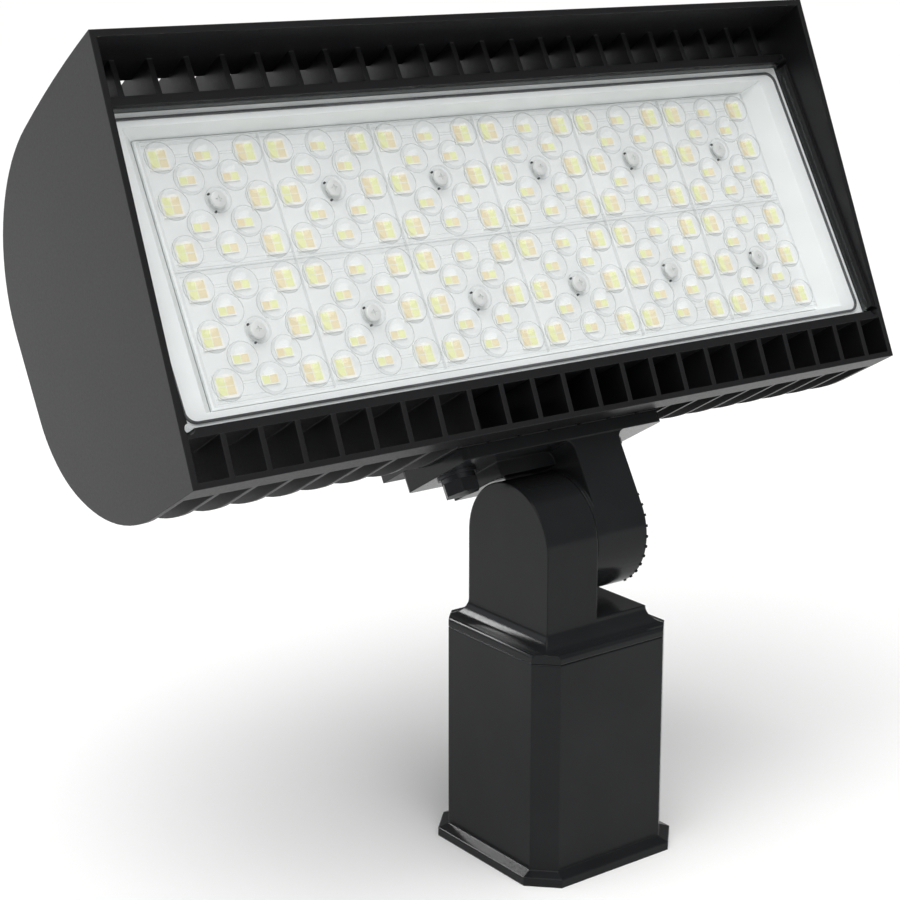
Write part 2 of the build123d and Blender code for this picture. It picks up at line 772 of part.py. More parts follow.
def fixed_knuckle():
    # fixed half of the knuckle: D shaped ear on a shoulder that sits on the box
    z0 = box_height - pivot_height
    span = 2 * box_half + 10
    along_y = extrude(Plane.XZ * cap_profile(knuckle_half), amount=span / 2, both=True)
    along_x = extrude(Plane.YZ * cap_profile(knuckle_r), amount=span / 2, both=True)
    octagon = Pos(0, 0, z0 - 1) * octagon_prism(box_half, box_chamfer, cap_top - box_height + 3)
    cap = along_y & along_x & octagon
    right = -knuckle_gap / 2
    ear = rod_x(knuckle_r, -knuckle_half, right)
    wall = Pos((right - knuckle_half) / 2, 0, z0 / 2) * Box(right + knuckle_half, 2 * knuckle_r, -z0 - 2)
    body = cap + [ear, wall]
    body -= rod_x(m12[0] + thread_fit, -knuckle_half + 4.4, knuckle_half)
    chamber = rod_x(chamber_r, right - chamber_depth_ear, 1) - rod_x(chamber_boss_r, -knuckle_half, 1)
    body -= chamber
    groove = rod_x(seal_groove_in + seal_groove_w, right - seal_groove_depth, 1)
    groove -= rod_x(seal_groove_in, -knuckle_half, 1)
    body -= groove & rod_x(knuckle_r, -knuckle_half, right)
    down = Pos(right - chamber_depth_ear / 2, 0, (z0 - chamber_boss_r - 3) / 2)
    body -= down * Cylinder(wire_r, -z0 - chamber_boss_r + 1)
    for x, y in box_screw_spots():
        body -= Pos(x, y, z0) * Cylinder(m6[0] + thread_fit, 2 * box_screw_bite + 0.8)
    return body


def knuckle_seal():
    face = -knuckle_gap / 2
    body = rod_x(seal_groove_in + seal_groove_w - 0.1, face - seal_groove_depth, face)
    return body - rod_x(seal_groove_in + 0.1, -knuckle_half, 1)


def octagon_face(half, cut):
    return chamfer(Rectangle(2 * half, 2 * half).vertices(), cut)


def octagon_prism(half, cut, height):
    return extrude(octagon_face(half, cut), amount=height)


def box_screw_spots():
    d = box_screw_offset
    return [(-d, -d), (-d, d), (d, -d), (d, d)]


def socket_box():
    # square box with cut corners, a flared foot and a round socket for the tenon
    body = octagon_prism(box_half, box_chamfer, box_height)
    body = chamfer(body.faces().sort_by(Axis.Z)[-1].edges(), seam_chamfer)
    foot = octagon_prism(foot_half, foot_chamfer, foot_height)
    flare = loft([Pos(0, 0, foot_height) * octagon_face(foot_half, foot_chamfer),
                  Pos(0, 0, foot_height + foot_slope) * octagon_face(box_half, box_chamfer)])
    bosses = [screw_axis(z) * Pos(0, 0, (box_half + set_boss_out + socket_r) / 2)
              * Cylinder(set_boss_r, box_half + set_boss_out - socket_r) for z in set_screw_heights]
    body = body + [foot, flare] + bosses
    depth = box_height - box_top_t
    body -= Pos(0, 0, depth / 2) * Cylinder(socket_r, depth)
    for z in set_screw_heights:
        body -= screw_axis(z) * Pos(0, 0, box_half) * Cylinder(m10[0] + running_fit, 2 * box_half)
    body -= Pos(knuckle_wire_x(), 0, box_height) * Cylinder(wire_r + grommet_wall, 30)
    body -= Pos(knuckle_wire_x(), 0, depth) * Cylinder(wire_r + grommet_collar, 2 * grommet_collar_t)
    for x, y in box_screw_spots():
        body -= Pos(x, y, box_height) * Cylinder(m6[0] + hole_fit, 30)
        body -= Pos(x, y, depth) * Cylinder(m6[1] + hole_fit, 2 * m6[2])
    return body


def knuckle_wire_x():
    return -knuckle_gap / 2 - chamber_depth_ear / 2


def screw_axis(z):
    # local z runs out of the back of the box at the given height
    return Pos(0, 0, z) * Rot(-90, 0, 0)


def box_grommet():
    # rubber sleeve in the roof of the socket that shields the supply wires
    z = box_height - box_top_t
    body = Pos(0, 0, z + box_top_t / 2) * Cylinder(wire_r + grommet_wall, box_top_t)
    body += Pos(0, 0, z + grommet_collar_t / 2) * Cylinder(wire_r + grommet_collar, grommet_collar_t)
    body -= Pos(0, 0, z) * Cylinder(wire_r, 30)
    return Pos(knuckle_wire_x(), 0, 0) * body


def box_screws():
    seat = box_height - box_top_t + m6[2]
    grip = box_top_t - m6[2] + box_screw_bite
    spots = []
    for x, y in box_screw_spots():
        head = Pos(0, 0, -m6[2] / 2) * Cylinder(m6[1], m6[2])
        socket = Pos(0, 0, -m6[2]) * extrude(RegularPolygon(2.5, 6, major_radius=False), amount=3.0)
        shank = Pos(0, 0, grip / 2) * Cylinder(m6[0], grip)
        spots.append(Pos(x, y, seat) * (head + shank - socket))
    return spots


def set_screw(z):
    # hexagon bolt that clamps the tenon; as drawn its point is level with the socket wall
    reach = box_half + set_boss_out + set_screw_travel + 0.3
    shank = Pos(0, 0, (socket_r + reach) / 2) * Cylinder(m10[0], reach - socket_r)
    head = Pos(0, 0, reach) * hex_head(m10)
    point = Pos(0, 0, socket_r) * Cylinder(2.6, 1.6)
    return screw_axis(z) * (shank + head - point)


def pivot_bolt():
    seat = bolt_seat + knuckle_gap + washer_stack
    depth = knuckle_half - 5.0
    shank = rod_x(m12[0], -depth, seat)
    head = Pos(seat, 0, 0) * Rot(0, 90, 0) * hex_head(m12)
    return shank + head


def pivot_flat_washer():
    washer = ring(m12[0] + washer_fit, 2 * m12[0], flat_washer_t)
    return Pos(bolt_seat + knuckle_gap, 0, 0) * Rot(0, 90, 0) * washer


def pivot_spring_washer():
    washer = split_ring(m12[0] + washer_fit, m12[1] + 1.2)
    return Pos(bolt_seat + knuckle_gap + flat_washer_t, 0, 0) * Rot(0, 90, 0) * washer


def save(name, shapes):
    shapes = shapes if isinstance(shapes, list) else [shapes]
    solids = [solid for shape in shapes for solid in shape.solids()]
    body = solids[0] if len(solids) == 1 else Compound(children=solids)
    export_step(body, f"parts/{name}.step")
    print(f"{name}: {len(solids)} solid(s), {sum(s.volume for s in solids) / 1000:.2f} cm3")


head_pieces = {
    "head_casting": head_casting,
    "front_glass": front_glass,
    "glass_seal": glass_seal,
    "reflector_tray": reflector_tray,
    "led_boards": led_boards,
    "led_packages": led_packages,
    "lens_plates": lens_plates,
    "module_screws": module_screws,
    "deck_grommet": deck_grommet,
    "driver_case": driver_case,
    "driver_screws": driver_screws,
    "terminal_block": terminal_block,
    "surge_protector": surge_protector,
    "bay_door": bay_door,
    "door_seal": door_seal,
    "door_screws": door_screws,
    "breather_vent": breather_vent,
    "switch_body": switch_body,
    "switch_slider": switch_slider,
    "switch_cap": switch_cap,
    "knuckle_arm": knuckle_arm,
    "arm_seal": arm_seal,
    "arm_flat_washers": arm_flat_washers,
    "arm_spring_washers": arm_spring_washers,
    "arm_bolts": arm_bolts,
}
knuckle_pieces = {
    "fixed_knuckle": fixed_knuckle,
    "knuckle_seal": knuckle_seal,
    "pivot_bolt": pivot_bolt,
    "pivot_flat_washer": pivot_flat_washer,
    "pivot_spring_washer": pivot_spring_washer,
}
box_pieces = {
    "socket_box": socket_box,
    "box_grommet": box_grommet,
    "box_screws": box_screws,
}

os.makedirs("parts", exist_ok=True)
for name, make in head_pieces.items():
    made = make()
    made = made if isinstance(made, list) else [made]
    save(name, [tilted(shape) for shape in made])
for name, make in knuckle_pieces.items():
    save(name, on_base(make()))
for name, make in box_pieces.items():
    save(name, make())
for index, height in enumerate(set_screw_heights):
    save(f"set_screw_{index + 1}", set_screw(height))
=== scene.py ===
# %% [markdown]
# # A floodlight on a tilting knuckle
# This lesson dresses a CAD model of an outdoor LED floodlight. The CAD file brings every solid
# part in its real place, in metres. Blender adds what the solids leave out: finishes, lens domes,
# chips, screw drives, threads, light and a camera.

# %% Load the solids
import math

import bmesh
import bpy
from mathutils import Matrix, Quaternion, Vector


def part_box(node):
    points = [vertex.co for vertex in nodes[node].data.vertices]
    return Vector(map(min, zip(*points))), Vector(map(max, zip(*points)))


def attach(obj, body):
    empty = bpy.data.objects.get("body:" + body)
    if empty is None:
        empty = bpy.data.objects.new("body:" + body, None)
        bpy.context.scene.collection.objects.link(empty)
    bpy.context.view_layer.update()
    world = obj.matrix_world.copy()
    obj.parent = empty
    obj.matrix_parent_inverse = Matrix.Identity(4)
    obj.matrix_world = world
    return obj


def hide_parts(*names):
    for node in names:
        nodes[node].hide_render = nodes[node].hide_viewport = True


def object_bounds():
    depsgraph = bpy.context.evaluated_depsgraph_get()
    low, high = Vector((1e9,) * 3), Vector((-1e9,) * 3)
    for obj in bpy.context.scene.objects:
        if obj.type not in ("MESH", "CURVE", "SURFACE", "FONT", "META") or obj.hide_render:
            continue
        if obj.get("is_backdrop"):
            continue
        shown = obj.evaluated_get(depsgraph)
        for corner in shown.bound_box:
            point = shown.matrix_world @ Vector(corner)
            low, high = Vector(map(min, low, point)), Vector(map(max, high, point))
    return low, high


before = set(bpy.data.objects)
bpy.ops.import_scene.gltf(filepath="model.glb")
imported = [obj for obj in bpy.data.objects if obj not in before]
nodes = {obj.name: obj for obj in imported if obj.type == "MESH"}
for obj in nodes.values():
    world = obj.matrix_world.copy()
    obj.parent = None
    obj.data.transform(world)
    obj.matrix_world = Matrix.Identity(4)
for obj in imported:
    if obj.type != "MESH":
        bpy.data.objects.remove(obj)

cad_low, cad_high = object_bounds()

# %% [markdown]
# ## Where the head is
# The head leans back on the knuckle. It is easiest to think of it lying flat on a table: u runs
# along its width, v up the lit face and n out of the glass, with n = 0 at the face of the chips.
# One matrix then stands it up and leans it, so no later step needs to know the angle.

# %% The head's own axes
mm = 0.001
pivot = Vector((0, 0, 130.0 * mm))
lean = math.radians(30)
chips_forward = 30.3 * mm
chips_up = 117.4 * mm
on_head = (Matrix.Translation(pivot) @ Matrix.Rotation(-lean, 4, "X")
           @ Matrix.Translation((0, -chips_forward, chips_up))
           @ Matrix.Rotation(math.pi / 2, 4, "X"))
print("chips at", [round(c, 4) for c in on_head.translation])

# %% [markdown]
# ## Colours and shader nodes
# A colour picked on a screen is sRGB, but a renderer counts light, which is linear. One function
# converts the usual hex code. A second small function adds any node, sets it up and links it,
# which keeps each material short enough to read. A third starts a material: what is the same all
# over the surface goes straight onto the shader's own sockets.

# %% Helpers for materials
def colour(code):
    values = [int(code[i:i + 2], 16) / 255 for i in (1, 3, 5)]
    linear = [v / 12.92 if v <= 0.04045 else ((v + 0.055) / 1.055) ** 2.4 for v in values]
    return linear + [1.0]


def add(tree, kind, sockets=None, **settings):
    node = tree.nodes.new(kind)
    for key, value in settings.items():
        setattr(node, key, value)
    for key, value in (sockets or {}).items():
        if isinstance(value, bpy.types.NodeSocket):
            tree.links.new(value, node.inputs[key])
        else:
            node.inputs[key].default_value = value
    return node


def new_material(name, base, roughness, metallic=0.0, **more):
    material = bpy.data.materials.new(name)
    material.use_nodes = True
    tree = material.node_tree
    shader = tree.nodes["Principled BSDF"]
    shader.inputs["Base Color"].default_value = colour(base)
    shader.inputs["Roughness"].default_value = roughness
    shader.inputs["Metallic"].default_value = metallic
    for key, value in more.items():
        shader.inputs[key.replace("_", " ")].default_value = value
    return material, tree, shader


print("a mid grey on screen is", round(colour("#808080")[0], 3), "in light")

# %% [markdown]
# ## Patterns that nearly every finish needs
# Real surfaces are never even. A grain is a noise whose size is stated in millimetres, and a
# mottle spreads it into a small change between two roughness values or, in two tones, two
# colours. Relief makes the grain stand up a few thousandths of a millimetre, and rounds sharp
# edges for the light without touching the solids.

# %% Grain, mottle, two tones and relief
def grain(tree, size_mm, detail=2.0, stretch=(1, 1, 1)):
    place = add(tree, "ShaderNodeTexCoord").outputs["Object"]
    mapping = add(tree, "ShaderNodeMapping", {"Vector": place, "Scale": stretch})
    noise = add(tree, "ShaderNodeTexNoise", {"Vector": mapping.outputs["Vector"],
                                             "Scale": 1 / (size_mm * mm), "Detail": detail})
    return noise.outputs["Fac"]


def mottle(tree, fac, low, high):
    # nearly all of a noise lies between 0.3 and 0.7
    spread = add(tree, "ShaderNodeMapRange", {"Value": fac, "From Min": 0.3, "From Max": 0.7,
                                              "To Min": low, "To Max": high})
    return spread.outputs["Result"]


def two_tones(tree, fac, first, second):
    # a Mix node has sockets for each kind of value, and 6, 7 and 2 are its colours
    share = mottle(tree, fac, 0, 1)
    mix = add(tree, "ShaderNodeMix", {"Factor": share, 6: colour(first), 7: colour(second)},
              data_type="RGBA")
    return mix.outputs[2]


def relief(tree, shader, fac, height_mm, edge_mm=0.0):
    bump = add(tree, "ShaderNodeBump", {"Height": fac, "Distance": height_mm * mm, "Strength": 1.0})
    if edge_mm:
        edge = add(tree, "ShaderNodeBevel", {"Radius": edge_mm * mm}, samples=8)
        tree.links.new(edge.outputs["Normal"], bump.inputs["Normal"])
    tree.links.new(bump.outputs["Normal"], shader.inputs["Normal"])


print("a grain of 2 mm has a noise scale of", round(1 / (2 * mm)))

# %% [markdown]
# ## Black powder coat
# The castings are aluminium, sprayed with dry polyester powder and baked. The powder melts to a
# thick skin that rounds every edge by about half a millimetre and leaves a fine orange peel, with
# bumps about a millimetre apart. It is a plastic to the eye, not a metal: a dark body colour
# under a soft sheen. The head has a coarser, duller coat than the knuckle, whose smooth coat
# mirrors more sharply.

# %% Powder coat
def powder_coat(name, dark, light, roughness, gloss, peel_mm, edge_mm):
    material, tree, shader = new_material(name, dark, roughness, IOR=1.5, Specular_IOR_Level=gloss)
    cloud = grain(tree, 28, 3)
    tree.links.new(two_tones(tree, cloud, dark, light), shader.inputs["Base Color"])
    peel = grain(tree, 1.1, 2)
    uneven = mottle(tree, peel, roughness - 0.03, roughness + 0.04)
    tree.links.new(uneven, shader.inputs["Roughness"])
    relief(tree, shader, peel, peel_mm, edge_mm)
    return material


head_coat = powder_coat("powder_coat_head", "#0c0c0e", "#101012", 0.42, 0.32, 0.009, 0.5)
knuckle_coat = powder_coat("powder_coat_knuckle", "#1b1c1d", "#1f2021", 0.17, 0.12, 0.0006, 0.9)
print(head_coat.name, knuckle_coat.name)

# %% [markdown]
# ## Metals
# Stainless screws are turned and then tumbled, which leaves faint rings and a dull shine. The
# pivot bolt and the clamping screws are blackened steel, a thin dark oxide that still reflects
# like metal, and the arm's bolts are dipped in grey zinc flake. The driver case is rolled
# aluminium, with streaks along the sheet. Such marks are about a tenth of a millimetre apart and
# are drawn five times coarser, or they wouldn't show. The module screws are zinc plated, and are
# drawn pale and only partly metallic: their pale colour is a painted reflection of the bright
# light that their heads mirror.

# %% Steel, zinc and sheet aluminium
def brushed(name, base, roughness, size_mm, stretch=(1, 1, 1)):
    material, tree, shader = new_material(name, base, roughness, metallic=1.0)
    streak = grain(tree, size_mm, 3, stretch)
    uneven = mottle(tree, streak, roughness - 0.07, roughness + 0.09)
    tree.links.new(uneven, shader.inputs["Roughness"])
    relief(tree, shader, streak, 0.006, 0.15)
    return material


stainless = brushed("stainless_steel", "#b4b4b2", 0.34, 0.5)
flake_steel = brushed("zinc_flake_steel", "#3c3d3f", 0.42, 0.6)
black_steel = brushed("blackened_steel", "#2a2a2c", 0.38, 0.6)
sheet_aluminium = brushed("sheet_aluminium", "#c3c5c7", 0.32, 0.7, (1, 1, 0.05))
# pale colour and low metal share: a painted reflection of the bright light on the screw heads
pale_screw_painted_reflection, tree, shader = new_material("screw_pale_painted_reflection", "#d9dbda", 0.45, metallic=0.2)
tree.links.new(mottle(tree, grain(tree, 0.8, 2), 0.38, 0.55), shader.inputs["Roughness"])
metals = [stainless, flake_steel, black_steel, sheet_aluminium, pale_screw_painted_reflection]
print([metal.name for metal in metals])

# %% [markdown]
# ## Plastics and rubber
# The reflector tray is white moulded polycarbonate with a fine matt grain, so that it spreads the
# light. The circuit board under the lenses is white solder mask, a little glossier. Silicone
# seals are smooth and dark grey, and the grommets are black rubber with a dull, slightly mottled
# skin. The chips sit on white ceramic, smooth and a little glossy. A mould's grain is a few
# tenths of a millimetre, and is drawn about twice as coarse so that it shows.

# %% Moulded plastics, solder mask, silicone and rubber
def moulded(name, first, second, roughness, size_mm, height_mm, edge_mm=0.3):
    material, tree, shader = new_material(name, first, roughness, IOR=1.5)
    fine = grain(tree, size_mm, 2)
    cloud = grain(tree, 18, 2)
    tree.links.new(two_tones(tree, cloud, first, second), shader.inputs["Base Color"])
    uneven = mottle(tree, fine, roughness - 0.05, roughness + 0.05)
    tree.links.new(uneven, shader.inputs["Roughness"])
    relief(tree, shader, fine, height_mm, edge_mm)
    return material


tray_white = moulded("polycarbonate_white_matt", "#e8ebeb", "#eef1f1", 0.55, 0.8, 0.01, 0.4)
board_white = moulded("solder_mask_white", "#edf0f0", "#f3f6f6", 0.35, 1.5, 0.004, 0.0)
silicone = moulded("silicone_dark_grey", "#515355", "#5a5c5e", 0.6, 0.9, 0.006)
rubber = moulded("rubber_black", "#141414", "#1c1c1c", 0.75, 0.7, 0.01)
black_plastic = moulded("nylon_black", "#17181a", "#1e1f21", 0.42, 0.6, 0.012)
white_plastic = moulded("nylon_white", "#dcdcd8", "#e6e6e2", 0.45, 0.6, 0.01)
grey_plastic = moulded("epoxy_block_grey", "#53565b", "#5d6066", 0.5, 0.8, 0.012)
ceramic = moulded("chip_ceramic", "#f2f2ee", "#f7f7f4", 0.45, 0.5, 0.002, 0.0)
plastics = [tray_white, board_white, silicone, rubber, black_plastic, white_plastic, grey_plastic]
print([plastic.name for plastic in plastics], "and", ceramic.name)

# %% [markdown]
# ## Clear glass and clear lenses
# A real pane bends light very little, because its two faces are parallel, so each face is drawn
# as a film that mirrors a small share of the light and lets the rest straight through. The share
# is about 4% head on and climbs steeply at a glancing view, which the fifth power of the facing
# value follows closely. Light then also reaches the tray, which a fully bending glass would leave
# in the dark. The lenses have the same film with a smaller glancing share, because light that
# glances off one wall of a lens mostly ends up on the white board anyway. The foot of each dome
# gets a faint grey film, painted shade where the curved plastic throws the light aside, and the
# plate's edges a fainter one of the same painted shade.

# %% Films for glass and polycarbonate
head_on_share = 0.035


def clear_film(name, tint, glancing_share, roughness):
    material, tree, shader = new_material(name, tint, roughness, metallic=1.0)
    facing = add(tree, "ShaderNodeLayerWeight", {"Blend": 0.5}).outputs["Facing"]
    glance = add(tree, "ShaderNodeMath", {0: facing, 1: 5.0}, operation="POWER").outputs[0]
    mirrored = add(tree, "ShaderNodeMath", {0: glance, 1: glancing_share, 2: head_on_share},
                   operation="MULTIPLY_ADD")
    tree.links.new(mirrored.outputs[0], shader.inputs["Alpha"])
    uneven = mottle(tree, grain(tree, 45, 2), roughness, roughness + 0.04)
    tree.links.new(uneven, shader.inputs["Roughness"])
    return material


def grey_film(name, base, share):
    material, tree, shader = new_material(name, base, 0.2, Alpha=share)
    tree.links.new(mottle(tree, grain(tree, 3, 2), 0.15, 0.3), shader.inputs["Roughness"])
    return material


pane = clear_film("tempered_glass", "#f4fbf9", 0.9, 0.02)
lens_clear = clear_film("polycarbonate_clear", "#ffffff", 0.25, 0.08)
# grey films of painted shade: at the foot of each dome, and fainter on edges, ribs and wells
dome_foot_painted_shade = grey_film("polycarbonate_painted_shade_foot", "#858c90", 0.16)
plate_edge_painted_shade = grey_film("polycarbonate_edge_painted_shade", "#9aa1a4", 0.1)
print([film.name for film in (pane, lens_clear, dome_foot_painted_shade, plate_edge_painted_shade)])

# %% [markdown]
# ## Phosphor
# Under each lens sit small LED chips in two kinds of white light. A chip's blue crystal is
# covered with silicone full of phosphor powder, lemon for cool light and peach for warm, and the
# powder gives it a fine speckle about a tenth of a millimetre across. That is drawn three times
# coarser here, or it wouldn't show.

# %% Two phosphors
def phosphor(name, first, second):
    material, tree, shader = new_material(name, first, 0.4, IOR=1.43)
    speckle = grain(tree, 0.35, 2)
    tree.links.new(two_tones(tree, speckle, first, second), shader.inputs["Base Color"])
    return material


cool_phosphor = phosphor("phosphor_lemon", "#e7ebad", "#eceebe")
warm_phosphor = phosphor("phosphor_peach", "#e8dab1", "#ece1c2")
print(cool_phosphor.name, warm_phosphor.name)

# %% [markdown]
# ## Dressing the solids
# A CAD part keeps its mesh. Only the material in its slot changes, so one table of part names is
# enough.

# %% Give each solid its finish
finish = {
    head_coat: ["head_casting", "bay_door"],
    knuckle_coat: ["knuckle_arm", "fixed_knuckle", "socket_box"],
    pane: ["front_glass"],
    silicone: ["glass_seal", "door_seal", "arm_seal", "knuckle_seal"],
    rubber: ["deck_grommet", "box_grommet"],
    tray_white: ["reflector_tray"],
    board_white: ["led_boards"],
    ceramic: ["led_packages"],
    lens_clear: ["lens_plates"],
    stainless: ["module_screws", "driver_screws", "door_screws", "box_screws"],
    sheet_aluminium: ["driver_case"],
    white_plastic: ["terminal_block", "switch_slider"],
    grey_plastic: ["surge_protector"],
    black_plastic: ["breather_vent", "switch_body", "switch_cap"],
    flake_steel: ["arm_flat_washers", "arm_spring_washers", "arm_bolts"],
    black_steel: ["pivot_bolt", "pivot_flat_washer", "pivot_spring_washer",
                  "set_screw_1", "set_screw_2"],
}
for material, names in finish.items():
    for name in names:
        nodes[name].data.materials.clear()
        nodes[name].data.materials.append(material)
dressed = sum(len(names) for names in finish.values())
print(dressed, "of", len(nodes), "solids dressed")

# %% [markdown]
# ## Turning a profile
# Rings, pins and screw heads are round. Each is drawn as half an outline, distance from the axis
# and height, and turned into a closed shell, the way a lathe would. A cross drive is no round
# shape, but pressing four lobes into a few of the rings comes close to it.

# %% A lathe for small meshes
def turned(name, outline, sides=24, phase=0.0):
    # an outline point is radius and height, and a third number is the depth of its four lobes
    mesh = bpy.data.meshes.new(name)
    shape = bmesh.new()
    rings = []
    for r, z, *lobes in outline:
        ring = []
        for k in range(sides if r > 0 else 1):
            a = phase + 2 * math.pi * k / sides
            wave = r * (1 + sum(lobes) * math.cos(4 * a))
            ring.append(shape.verts.new((wave * math.cos(a) * mm, wave * math.sin(a) * mm, z * mm)))
        rings.append(ring)
    for one, two in zip(rings, rings[1:] + rings[:1]):
        for k in range(sides):
            a, b = one[k % len(one)], one[(k + 1) % len(one)]
            c, d = two[(k + 1) % len(two)], two[k % len(two)]
            corners = list(dict.fromkeys([a, b, c, d]))
            if len(corners) > 2:
                shape.faces.new(corners)
    bmesh.ops.recalc_face_normals(shape, faces=shape.faces)
    shape.to_mesh(mesh)
    shape.free()
    return mesh


def smooth(mesh, degrees=35):
    mesh.polygons.foreach_set("use_smooth", [True] * len(mesh.polygons))
    mesh.set_sharp_from_angle(angle=math.radians(degrees))


print("the lathe turns", turned.__defaults__[0], "sides unless told otherwise")

# %% [markdown]
# ## A tree of nodes that fills the lens field
# The light has twelve modules in two rows of six, and each module has twelve lenses in a chequer
# of five by five with a screw in the middle. A chequer is a rule, so Geometry Nodes can draw it:
# point number i of 25 carries a lens when i is even and isn't 12. The tree copies whatever mesh
# it is given to those points, then copies the whole module to the places of the modules. Two
# inputs for the columns and two for the rows choose which of the lenses get a copy.

# %% Opening and closing a tree
def new_tree(name, inputs):
    tree = bpy.data.node_groups.new(name, "GeometryNodeTree")
    tree.interface.new_socket("Geometry", in_out="INPUT", socket_type="NodeSocketGeometry")
    for label, kind in inputs.items():
        tree.interface.new_socket(label, in_out="INPUT", socket_type="NodeSocket" + kind)
    tree.interface.new_socket("Geometry", in_out="OUTPUT", socket_type="NodeSocketGeometry")
    return tree, add(tree, "NodeGroupInput").outputs


def close_tree(tree, copies, material):
    real = add(tree, "GeometryNodeRealizeInstances", {"Geometry": copies.outputs[0]})
    painted = add(tree, "GeometryNodeSetMaterial",
                  {"Geometry": real.outputs[0], "Material": material})
    add(tree, "NodeGroupOutput", {0: painted.outputs[0]})


module_inputs = {"Columns": "Int", "Rows": "Int", "Width": "Float", "Height": "Float",
                 "Material": "Material"}
print("both trees share the inputs", ", ".join(module_inputs))

# %% The plain grid and the lens field
grid_tree, given = new_tree("plain_grid", module_inputs)
spots = add(grid_tree, "GeometryNodeMeshGrid",
            {"Size X": given["Width"], "Size Y": given["Height"],
             "Vertices X": given["Columns"], "Vertices Y": given["Rows"]})
copies = add(grid_tree, "GeometryNodeInstanceOnPoints",
             {"Points": spots.outputs[0], "Instance": given["Geometry"]})
close_tree(grid_tree, copies, given["Material"])

field_tree, given = new_tree("lens_field", {
    **module_inputs, "Lens Span": "Float", "Middle Column": "Float", "Column Reach": "Float",
    "Middle Row": "Float", "Row Reach": "Float"})
lenses = add(field_tree, "GeometryNodeMeshGrid",
             {"Size X": given["Lens Span"], "Size Y": given["Lens Span"],
              "Vertices X": 5, "Vertices Y": 5})
index = add(field_tree, "GeometryNodeInputIndex").outputs[0]
odd = add(field_tree, "ShaderNodeMath", {0: index, 1: 2.0}, operation="FLOORED_MODULO").outputs[0]
place = add(field_tree, "GeometryNodeInputPosition").outputs[0]
across_and_up = add(field_tree, "ShaderNodeSeparateXYZ", {0: place}).outputs
at_screw = add(field_tree, "ShaderNodeMath", {0: index, 1: 12.0, 2: 0.1}, operation="COMPARE")
wanted = add(field_tree, "ShaderNodeMath", {0: 1.0, 1: at_screw.outputs[0]}, operation="SUBTRACT")
for value, target, reach in ((odd, 0.0, 0.1),
                             (across_and_up[0], given["Middle Column"], given["Column Reach"]),
                             (across_and_up[1], given["Middle Row"], given["Row Reach"])):
    close = add(field_tree, "ShaderNodeMath", {0: value, 1: target, 2: reach}, operation="COMPARE")
    wanted = add(field_tree, "ShaderNodeMath", {0: wanted.outputs[0], 1: close.outputs[0]},
                 operation="MULTIPLY")
one_module = add(field_tree, "GeometryNodeInstanceOnPoints",
                 {"Points": lenses.outputs[0], "Selection": wanted.outputs[0],
                  "Instance": given["Geometry"]})
modules = add(field_tree, "GeometryNodeMeshGrid",
              {"Size X": given["Width"], "Size Y": given["Height"],
               "Vertices X": given["Columns"], "Vertices Y": given["Rows"]})
all_modules = add(field_tree, "GeometryNodeInstanceOnPoints",
                  {"Points": modules.outputs[0], "Instance": one_module.outputs[0]})
close_tree(field_tree, all_modules, given["Material"])
print(grid_tree.name, len(grid_tree.nodes), "nodes,", field_tree.name, len(field_tree.nodes))

# %% [markdown]
# ## Running a tree
# A Geometry Nodes modifier belongs to an object, and its inputs are set by their identifiers. The
# result is read back as a plain mesh, moved to its place on the lamp and kept on a new object
# that rides on a CAD body.

# %% Run a tree, merge meshes and keep a piece
def run_tree(tree, mesh, values):
    carrier = bpy.data.objects.new("carrier", mesh)
    bpy.context.scene.collection.objects.link(carrier)
    modifier = carrier.modifiers.new("nodes", "NODES")
    modifier.node_group = tree
    for item in tree.interface.items_tree:
        if item.in_out == "INPUT" and item.name in values:
            modifier[item.identifier] = values[item.name]
    bpy.context.view_layer.update()
    seen = carrier.evaluated_get(bpy.context.evaluated_depsgraph_get())
    result = bpy.data.meshes.new_from_object(seen)
    carrier.modifiers.clear()
    bpy.data.objects.remove(carrier)
    return result


def merged(name, meshes):
    shape = bmesh.new()
    materials = []
    for mesh in meshes:
        first = len(shape.faces)
        shape.from_mesh(mesh)
        shape.faces.ensure_lookup_table()
        materials += [material for material in mesh.materials if material not in materials]
        for face in shape.faces[first:]:
            if mesh.materials:
                face.material_index = materials.index(mesh.materials[face.material_index])
    mesh = bpy.data.meshes.new(name)
    shape.to_mesh(mesh)
    shape.free()
    for material in materials:
        mesh.materials.append(material)
    return mesh


def keep(name, mesh, body, replaces=()):
    piece = bpy.data.objects.new(name, mesh)
    bpy.context.scene.collection.objects.link(piece)
    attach(piece, body)
    if replaces:
        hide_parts(*replaces)


lens_pitch, module_wide, module_high = 9.19, 50.5, 51.0
any_lens = 3 * lens_pitch * mm
module_grid = {"Columns": 6, "Rows": 2, "Width": 5 * module_wide * mm, "Height": module_high * mm}
every_lens = {**module_grid, "Lens Span": 4 * lens_pitch * mm, "Middle Column": 0.0,
              "Column Reach": any_lens, "Middle Row": 0.0, "Row Reach": any_lens}
print("lens field", round(module_grid["Width"] / mm + every_lens["Lens Span"] / mm, 1), "mm wide")

# %% [markdown]
# ## Boards
# Two white circuit boards lie under the lenses. Where a board meets the tray no dark joint shows
# on the real lamp, because the white tray laps the board. Here the drawn boards reach the foot of
# the tray, with a hair between the two.

# %% White boards up to the tray
def slab(low, high, bevel=0.0):
    mesh = bpy.data.meshes.new("slab")
    shape = bmesh.new()
    bmesh.ops.create_cube(shape, size=1.0)
    size = (Vector(high) - Vector(low)) * mm
    middle = (Vector(high) + Vector(low)) / 2 * mm
    bmesh.ops.scale(shape, vec=size, verts=shape.verts)
    bmesh.ops.translate(shape, vec=middle, verts=shape.verts)
    if bevel:
        bmesh.ops.bevel(shape, geom=shape.edges, offset=bevel * mm, segments=1, affect="EDGES")
    shape.to_mesh(mesh)
    shape.free()
    return mesh


